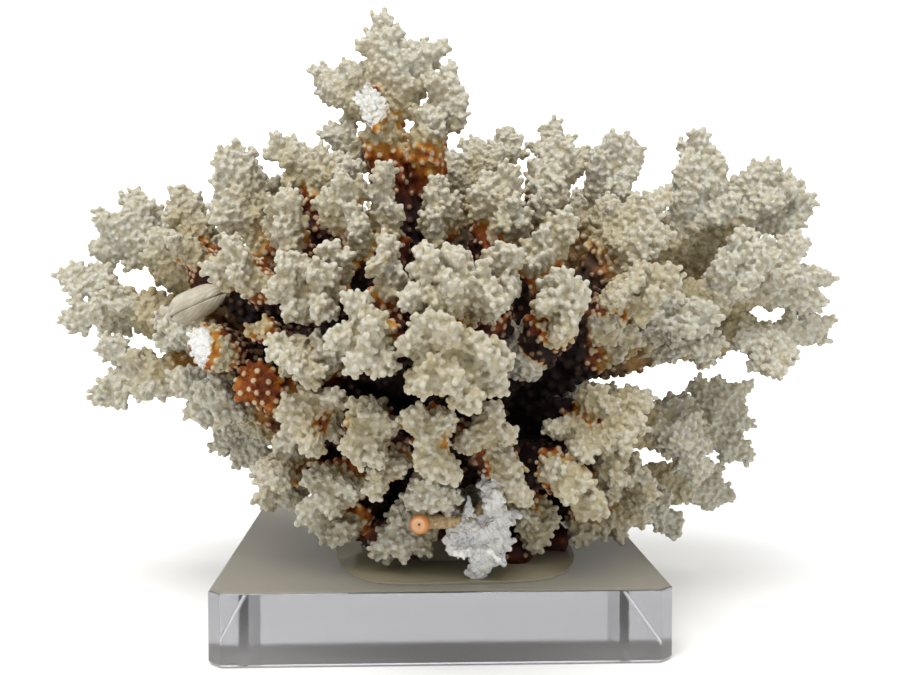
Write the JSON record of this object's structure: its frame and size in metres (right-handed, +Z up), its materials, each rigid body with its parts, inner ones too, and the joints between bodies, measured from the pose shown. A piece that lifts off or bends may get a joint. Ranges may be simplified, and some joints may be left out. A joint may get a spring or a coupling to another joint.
{
  "type": "branching coral on a clear display block",
  "caption": "Dried cauliflower coral with knobbly forked limbs, glued on a square clear acrylic block so that it stands upright for display.",
  "frame": {"origin": "middle of the display block's underside", "axes": "+Z up; the front, with the worm tube and the white broken limb, faces -Y; +X is to the right seen from the front"},
  "size_m": [0.295, 0.224, 0.227],
  "materials": {
    "clear_acrylic": "polished clear cast acrylic, lightly scuffed and dusty",
    "clear_glue": "clear adhesive, gone slightly milky at the edge",
    "coral_cream": "dry matt aragonite, off-white to cream, knobbly",
    "coral_stained": "dry matt aragonite with golden to rust-brown staining",
    "coral_dark": "dry matt aragonite stained dark red-brown to black",
    "coral_fracture": "freshly broken white aragonite, ribbed and crystalline",
    "worm_tube": "chalky tan worm tube with an orange lip",
    "clam_shell": "smooth worn shell, satin"
  },
  "bodies": {
    "root": {"display_block": "clear_acrylic", "riser_pad": "clear_acrylic", "glue_bead": "clear_glue", "worm_tube": "worm_tube", "lodged_clam": "clam_shell", "holdfast": "coral_dark", "crown_limb": "coral_cream", "upper_left_outer_limb": "coral_cream", "upper_left_inner_limb": "coral_cream", "upper_left_front_limb": "coral_cream", "upper_front_limb": "coral_cream", "left_high_limb": "coral_cream", "left_high_front_limb": "coral_cream", "left_mid_limb": "coral_cream", "left_low_limb": "coral_cream", "broken_left_limb": "coral_stained", "left_amber_limb": "coral_stained", "left_low_back_limb": "coral_cream", "front_left_high_limb": "coral_cream", "front_centre_left_limb": "coral_cream", "front_centre_high_limb": "coral_cream", "front_centre_low_limb": "coral_cream", "front_low_limb": "coral_cream", "front_low_left_limb": "coral_cream", "front_left_low_limb": "coral_cream", "front_left_foot_limb": "coral_cream", "left_foot_limb": "coral_cream", "front_foot_limb": "coral_cream", "broken_front_limb": "coral_fracture", "front_right_low_limb": "coral_cream", "right_low_front_limb": "coral_cream", "right_mid_front_limb": "coral_cream", "right_foot_limb": "coral_cream", "right_low_limb": "coral_cream", "right_low_back_limb": "coral_cream", "right_foot_back_limb": "coral_cream", "front_right_high_limb": "coral_cream", "upper_right_front_limb": "coral_cream", "upper_right_mid_limb": "coral_cream", "upper_mid_limb": "coral_cream", "upper_back_limb": "coral_cream", "upper_right_outer_limb": "coral_cream", "right_upper_front_limb": "coral_cream", "right_mid_high_limb": "coral_cream", "right_top_limb": "coral_cream", "right_far_top_limb": "coral_cream", "right_far_mid_limb": "coral_cream", "right_far_low_limb": "coral_cream", "right_back_mid_limb": "coral_cream", "back_top_limb": "coral_cream", "back_upper_left_limb": "coral_cream", "top_left_limb": "coral_cream", "back_upper_right_limb": "coral_cream", "back_right_limb": "coral_cream", "back_left_limb": "coral_cream", "back_mid_limb": "coral_cream", "back_right_mid_limb": "coral_cream", "back_low_limb": "coral_cream", "back_right_low_limb": "coral_cream"}
  },
  "joints": []
}
